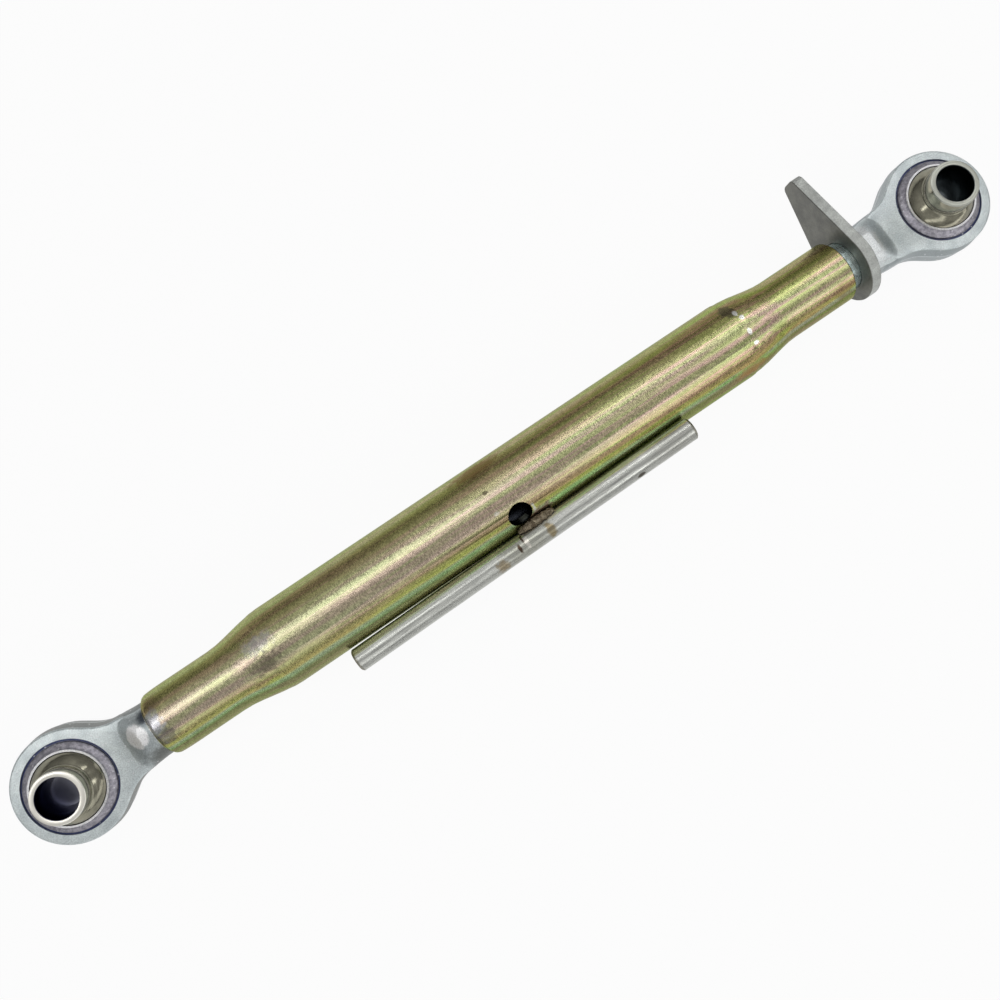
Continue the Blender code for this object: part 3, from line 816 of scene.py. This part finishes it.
def eyeMaterial(name):
    side = eyeSides[name]
    # Facing the other way turns the sense of the roll as well.
    turn = (side["roll"] * math.cos(side["facing"]), 0, side["facing"])
    material, tree, shader, place = newMaterial(name + "Forging", ballCentres[name], turn)
    parts = addNode(tree, "SeparateXYZ", {0: place}).outputs
    flatPlace = addNode(tree, "CombineXYZ", {0: parts[0], 1: parts[1]}).outputs[0]
    radius = vectorCalc(tree, "LENGTH", flatPlace, output=1)
    height = calc(tree, "ABSOLUTE", parts[2])
    patches = useGroup(tree, blotches, Place=place, Size=9 * mm, Cover=0.5, Edge=0.2)
    colour = mixColour(tree, patches["Mask"], eye["face"], eye["faceDark"])
    # The flanks get painted shade: darker than the faces, and darker at the left eye than at the right.
    flank = fade(tree, height, 7.5 * mm, 6.7 * mm)
    colour = mixColour(tree, flank, colour, side["flank"])
    atMiddle = fade(tree, height, 0.5 * mm, 0.2 * mm)
    parting = calc(tree, "MULTIPLY", atMiddle, fade(tree, radius, 24 * mm, 25 * mm))
    colour = mixColour(tree, parting, colour, eye["parting"])
    colour = markColours(tree, place, colour, inMetres(side["marks"]))
    onLip = fade(tree, radius, 21.9 * mm, 21.4 * mm)
    lipPatches = useGroup(tree, blotches, Place=place, Size=1.6 * mm, Cover=0.45, Edge=0.14)
    lipColour = mixColour(tree, lipPatches["Mask"], eye["lip"], eye["lipDark"])
    # A painted highlight runs round the lip's inner edge.
    inRim = fade(tree, radius, 18.5 * mm, 18.1 * mm)
    lipHighlight = calc(tree, "MULTIPLY", inRim, fade(tree, radius, 17.0 * mm, 17.4 * mm))
    lipColour = mixColour(tree, lipHighlight, lipColour, eye["lipHighlight"])
    colour = mixColour(tree, onLip, colour, lipColour)
    # The groove gets painted shade, a dark blue line.
    pastLip = fade(tree, radius, 21.4 * mm, 21.7 * mm)
    inGroove = calc(tree, "MULTIPLY", pastLip, fade(tree, radius, 22.7 * mm, 22.5 * mm))
    inGroove = calc(tree, "MULTIPLY", inGroove, fade(tree, height, 8.2 * mm, 8.0 * mm))
    colour = mixColour(tree, inGroove, colour, eye["grooveShade"])
    speckle = useGroup(tree, grain, Place=place, Fineness=(1500, 1500, 1500), Contrast=0.28)
    nicks = useGroup(tree, chips, Place=place, Size=0.5 * mm, Rarity=0.93)
    colour = mixColour(tree, 1.0, colour, speckle["Shade"], "MULTIPLY")
    colour = mixColour(tree, calc(tree, "MULTIPLY", nicks["Mask"], 0.5), colour, eye["nick"])
    feed(tree, shader.inputs["Base Color"], colour)
    feed(tree, shader.inputs["Roughness"], fade(tree, speckle["Mask"], 0, 1, 0.36, 0.5))
    bumpHeight = calc(tree, "ADD", speckle["Mask"], calc(tree, "MULTIPLY", onLip, lipPatches["Mask"]))
    addBump(tree, shader, bumpHeight, 0.00008, 0.5)
    return material


for side in ("left", "right"):
    makeEye(side)
    paint(side + "Eye", eyeMaterial(side))
print("eyes finished")


# Balls: hardened and plated, turned with a collar at each end of the bore

ball = {
    "radius": 20.2 * mm, "halfWidth": 25.5 * mm, "collar": 12.4 * mm, "bore": 9.65 * mm,
    "fillet": 1.6 * mm, "chamfer": 0.6 * mm, "ballSteps": 14, "filletSteps": 6,
    "pale": (0.46, 0.44, 0.34), "dark": (0.27, 0.26, 0.20),
    # Each collar end's colour is painted light: the left end lighter as a painted highlight, the right end
    # darker as painted shade; each bore's dark colour is painted shade.
    "left": {"end": (1.0, 0.97, 0.88), "inside": (0.045, 0.05, 0.11), "roll": eye["leftRoll"]},
    "right": {"end": (0.52, 0.53, 0.47), "inside": (0.16, 0.18, 0.19), "roll": eye["rightRoll"]},
}


def makeBall(side):
    radius, half, collar, fillet = ball["radius"], ball["halfWidth"], ball["collar"], ball["fillet"]
    filletPlace = collar + fillet
    filletHeight = math.sqrt((radius + fillet) ** 2 - filletPlace ** 2)
    meeting = math.atan2(filletPlace, filletHeight)
    upper = arcPoints(radius, math.pi / 2, meeting, ball["ballSteps"])
    for step in range(1, ball["filletSteps"] + 1):
        angle = math.pi + meeting + (math.pi / 2 - meeting) * step / ball["filletSteps"]
        upper.append((filletHeight + fillet * math.cos(angle), filletPlace + fillet * math.sin(angle)))
    bore, chamfer = ball["bore"], ball["chamfer"]
    slight = chamfer * 0.3
    upper += [(half - chamfer, collar), (half - slight, collar - slight), (half, collar - chamfer),
              (half, bore + chamfer), (half - slight, bore + slight), (half - chamfer, bore)]
    profile = upper + [(-height, out) for height, out in reversed(upper)][:-1]
    bm = spun(profile, closeEnds=False)
    place = Matrix.Translation(ballCentres[side]) @ Matrix.Rotation(ball[side]["roll"], 4, "X")
    bmesh.ops.transform(bm, matrix=place, verts=bm.verts)
    newPiece(side + "Ball", bm, side + "_ball", "polished_steel", side + "_ball")


def ballMaterial(side):
    turn = (ball[side]["roll"], 0, 0)
    material, tree, shader, place = newMaterial(side + "BallSteel", ballCentres[side], turn)
    parts = addNode(tree, "SeparateXYZ", {0: place}).outputs
    flatPlace = addNode(tree, "CombineXYZ", {0: parts[0], 1: parts[1]}).outputs[0]
    radius = vectorCalc(tree, "LENGTH", flatPlace, output=1)
    height = calc(tree, "ABSOLUTE", parts[2])
    patches = useGroup(tree, blotches, Place=place, Size=6 * mm, Cover=0.5, Edge=0.25)
    colour = mixColour(tree, patches["Mask"], ball["pale"], ball["dark"])
    # Painted highlight or painted shade on the collar ends, and painted shade down the bore.
    onEnd = fade(tree, height, 24.6 * mm, 24.9 * mm)
    colour = mixColour(tree, onEnd, colour, ball[side]["end"])
    inBore = fade(tree, radius, 10.1 * mm, 9.8 * mm)
    colour = mixColour(tree, inBore, colour, ball[side]["inside"])
    feed(tree, shader.inputs["Base Color"], colour)
    rings = useGroup(tree, grain, Place=place, Fineness=(60, 60, 2500), Contrast=0.2)
    rough = fade(tree, rings["Mask"], 0, 1, 0.1, 0.2)
    feed(tree, shader.inputs["Roughness"], calc(tree, "ADD", rough, calc(tree, "MULTIPLY", onEnd, 0.22)))
    addBump(tree, shader, rings["Mask"], 0.00001, 0.3)
    return material


for side in ("left", "right"):
    makeBall(side)
    paint(side + "Ball", ballMaterial(side))
print("balls finished")


# Shanks: M27 by 3, left-hand at the left eye and right-hand at the right eye

shank = {
    "pitch": 3 * mm, "crest": 13.4 * mm, "root": 11.8 * mm, "plain": 13.2 * mm, "ring": 0.5 * mm, "steps": 48,
    "chamfer": 2 * mm, "leftPlain": 3 * mm, "rightPlain": 13 * mm,
    "pale": (0.86, 1.0, 0.98), "dark": (0.70, 0.86, 0.86), "rootShade": (0.16, 0.19, 0.19),
}


def makeShank(side, hand, plainLength):
    # Rings run from the shoulder by the eye to the inner end; the thread starts after a plain length.
    low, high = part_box(side + "_threaded_shank")
    start, end = (low.x, high.x) if side == "left" else (high.x, low.x)
    long = abs(end - start)
    count = round(long / shank["ring"])
    rings = []
    for index in range(count + 1):
        along = long * index / count
        x = start + math.copysign(along, end - start)
        depth = ease(along, plainLength, plainLength + shank["pitch"])
        most = shank["crest"] - max(shank["chamfer"] - (long - along), 0) * 0.9
        ring = []
        for step in range(shank["steps"]):
            turn = step / shank["steps"]
            wave = abs(((x / shank["pitch"] - hand * turn) % 1) * 2 - 1)
            tooth = min(max((wave - 0.16) / 0.7, 0), 1)
            threaded = shank["root"] + (shank["crest"] - shank["root"]) * tooth
            out = min(shank["plain"] + (threaded - shank["plain"]) * depth, most)
            angle = math.tau * turn
            ring.append((x, linkAxis.y - out * math.sin(angle), linkAxis.z + out * math.cos(angle)))
        rings.append(ring)
    newPiece(side + "Shank", skin(rings), side + "_shank", "shank_zinc", side + "_threaded_shank")


def shankMaterial():
    material, tree, shader, place = newMaterial("shankZinc", linkAxis)
    around = useGroup(tree, aroundAxis, Place=place)
    lines = useGroup(tree, grain, Place=place, Fineness=(2500, 300, 300), Contrast=0.2)
    patches = useGroup(tree, blotches, Place=place, Size=4 * mm, Cover=0.5, Edge=0.2)
    colour = mixColour(tree, patches["Mask"], shank["pale"], shank["dark"])
    # The thread roots get painted shade.
    rootShade = fade(tree, around["Radius"], 13.0 * mm, 12.0 * mm)
    colour = mixColour(tree, rootShade, colour, shank["rootShade"])
    colour = mixColour(tree, 1.0, colour, lines["Shade"], "MULTIPLY")
    feed(tree, shader.inputs["Base Color"], colour)
    feed(tree, shader.inputs["Roughness"], fade(tree, lines["Mask"], 0, 1, 0.26, 0.4))
    addBump(tree, shader, lines["Mask"], 0.00002, 0.4)
    return material


makeShank("left", -1, shank["leftPlain"])
makeShank("right", 1, shank["rightPlain"])
shankFinish = shankMaterial()
paint("leftShank", shankFinish)
paint("rightShank", shankFinish)
print("shanks finished")


# Lock plate

plate = {
    "edge": (0.60, 0.62, 0.59), "edgeDark": (0.44, 0.45, 0.43),
    "face": (0.22, 0.22, 0.20), "faceDark": (0.16, 0.16, 0.15),
}


def plateMaterial():
    material, tree, shader, place = newMaterial("dullZinc", middle("lock_plate"))
    patches = useGroup(tree, blotches, Place=place, Size=6 * mm, Cover=0.5, Edge=0.2)
    colour = mixColour(tree, patches["Mask"], plate["edge"], plate["edgeDark"])
    # The two cut faces get painted shade: they are darker than the edge that runs round them, which is
    # painted as lit.
    low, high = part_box("lock_plate")
    half = (high.x - low.x) / 2
    aside = calc(tree, "ABSOLUTE", addNode(tree, "SeparateXYZ", {0: place}).outputs[0])
    faceShade = fade(tree, aside, half - 0.45 * mm, half - 0.15 * mm)
    faceShadeColour = mixColour(tree, patches["Mask"], plate["face"], plate["faceDark"])
    colour = mixColour(tree, faceShade, colour, faceShadeColour)
    speckle = useGroup(tree, grain, Place=place, Fineness=(1500, 1500, 1500), Contrast=0.3)
    colour = mixColour(tree, 1.0, colour, speckle["Shade"], "MULTIPLY")
    feed(tree, shader.inputs["Base Color"], colour)
    feed(tree, shader.inputs["Roughness"], fade(tree, speckle["Mask"], 0, 1, 0.4, 0.55))
    addBump(tree, shader, speckle["Mask"], 0.00008, 0.5)
    return material


paint("lock_plate", plateMaterial())
print("plate finished")


# Studio: pale floor, dim horizon and soft boxes along the barrel

studio = {
    "zenith": 0.46, "high": 0.40, "low": 0.2, "horizon": 0.05,
    # Each box lies along the barrel, 1 m off, between two places along X.
    "boxes": [
        {"name": "softBoxLeft", "tilt": 13, "from": -1.5, "to": 0.09, "wide": 0.2, "glow": 2.3},
        {"name": "softBoxRight", "tilt": 35, "from": 0.13, "to": 1.5, "wide": 0.13, "glow": 2.7},
        {"name": "softBoxNear", "tilt": -46, "from": 0.13, "to": 1.5, "wide": 0.2, "glow": 1.8},
        {"name": "softBoxNearLeft", "tilt": -53, "from": -1.5, "to": 0.1, "wide": 0.22, "glow": 0.8},
        {"name": "softBoxTop", "tilt": 0, "from": 0.44, "to": 1.5, "wide": 0.2, "glow": 1.5},
        {"name": "softBoxSide", "tilt": -82, "from": -1.5, "to": 1.5, "wide": 0.18, "glow": 0.9},
    ],
    "floorDepth": 0.6 * mm, "floorHalf": 6, "floorGrey": (0.8, 0.8, 0.8), "floorGlow": 0.94,
}


def makeWorld():
    world = bpy.data.worlds.new("studio")
    bpy.context.scene.world = world
    world.use_nodes = True
    tree = world.node_tree
    background = tree.nodes["Background"]
    direction = addNode(tree, "TexCoord").outputs["Generated"]
    rise = addNode(tree, "SeparateXYZ", {0: direction}).outputs[2]
    levels = [(0.0, studio["horizon"]), (0.12, studio["low"]), (0.5, studio["high"]), (1.0, studio["zenith"])]
    stops = [(place, (level, level, level)) for place, level in levels]
    glow = bands(tree, rise, stops)
    seen = addNode(tree, "LightPath").outputs["Is Camera Ray"]
    feed(tree, background.inputs["Color"], mixColour(tree, seen, glow, (1, 1, 1)))


def makeSoftBox(box):
    long = box["to"] - box["from"]
    data = bpy.data.lights.new(box["name"], "AREA")
    data.shape = "RECTANGLE"
    data.size = long
    data.size_y = box["wide"]
    data.energy = box["glow"] * math.pi * long * box["wide"]
    made = bpy.data.objects.new(box["name"], data)
    bpy.context.scene.collection.objects.link(made)
    tilt = math.radians(box["tilt"])
    made.location = linkAxis + Vector(((box["from"] + box["to"]) / 2, math.sin(tilt), math.cos(tilt)))
    made.rotation_euler = (-tilt, 0, 0)
    made.visible_camera = False


def makeFloor():
    bm = bmesh.new()
    bmesh.ops.create_grid(bm, x_segments=1, y_segments=1, size=studio["floorHalf"])
    mesh = bpy.data.meshes.new("floor")
    bm.to_mesh(mesh)
    bm.free()
    floor = bpy.data.objects.new("floor", mesh)
    bpy.context.scene.collection.objects.link(floor)
    floor.location.z = -studio["floorDepth"]
    material = bpy.data.materials.new("paleFloor")
    material.use_nodes = True
    tree = material.node_tree
    tree.nodes.remove(tree.nodes["Principled BSDF"])
    matt = addNode(tree, "BsdfDiffuse", {"Color": studio["floorGrey"]})
    glow = addNode(tree, "Emission", {"Color": (1, 1, 1), "Strength": 1.0})
    path = addNode(tree, "LightPath").outputs
    place = addNode(tree, "TexCoord").outputs["Object"]
    # Metal sees the floor pale near the link and dimmer away from it.
    across = addNode(tree, "SeparateXYZ", {0: place}).outputs[1]
    aside = calc(tree, "ABSOLUTE", calc(tree, "SUBTRACT", across, linkAxis.y))
    mirrored = fade(tree, aside, 40 * mm, 110 * mm, 0.8, 0.15)
    inMetal = calc(tree, "MULTIPLY", path["Is Glossy Ray"], mirrored)
    seen = calc(tree, "MAXIMUM", path["Is Camera Ray"], inMetal)
    # Down a bore hardly any light reaches the floor.
    openSky = addNode(tree, "AmbientOcclusion", {"Distance": 30 * mm}, samples=8).outputs["AO"]
    glowing = fade(tree, openSky, 0.3, 0.16, studio["floorGlow"], 0.0)
    share = calc(tree, "MULTIPLY", seen, glowing)
    mixed = addNode(tree, "MixShader", {0: share, 1: matt.outputs[0], 2: glow.outputs[0]})
    feed(tree, tree.nodes["Material Output"].inputs["Surface"], mixed.outputs[0])
    mesh.materials.append(material)


makeWorld()
for softBox in studio["boxes"]:
    makeSoftBox(softBox)
makeFloor()
bpy.context.scene.view_settings.view_transform = "Standard"
print("studio lit")
